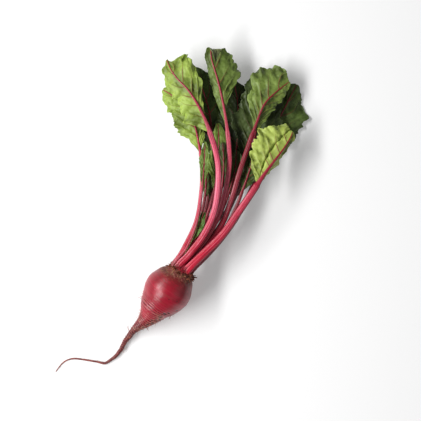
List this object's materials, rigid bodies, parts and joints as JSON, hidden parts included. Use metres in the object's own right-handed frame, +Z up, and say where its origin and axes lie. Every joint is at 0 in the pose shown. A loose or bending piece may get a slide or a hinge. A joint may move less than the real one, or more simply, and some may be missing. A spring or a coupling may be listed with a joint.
{
  "type": "beetroot",
  "caption": "Fresh beetroot pulled whole: a round red root with a long thin tail, and waved green leaves on red stalks that fan out from its crown, lying on its side.",
  "frame": {"origin": "on the surface that the beetroot lies on, in the flat spot under the widest part of its root", "axes": "+Z up from the surface; +Y towards the leaves, -Y towards the tail; +X to the right as the leaves are seen from above"},
  "size_m": [0.3154, 0.4081, 0.0572],
  "materials": {
    "root_skin": "thin waxy crimson skin, brown and corky at the crown, brown on the tail",
    "stalk": "smooth ribbed crimson stalk with pale pink streaks, a soft gloss",
    "leaf": "soft waved green leaf with pale and red veins"
  },
  "bodies": {
    "root": {"root": "root_skin", "stalk_a": "stalk", "blade_a": "leaf", "stalk_b": "stalk", "blade_b": "leaf", "stalk_c": "stalk", "blade_c": "leaf", "stalk_d": "stalk", "blade_d": "leaf", "stalk_e": "stalk", "blade_e": "leaf", "stalk_f": "stalk", "blade_f": "leaf", "stalk_g": "stalk", "blade_g": "leaf", "stalk_h": "stalk", "blade_h": "leaf", "stalk_i": "stalk", "blade_i": "leaf", "stalk_j": "stalk", "blade_j": "leaf", "stalk_k": "stalk", "blade_k": "leaf"}
  },
  "joints": []
}
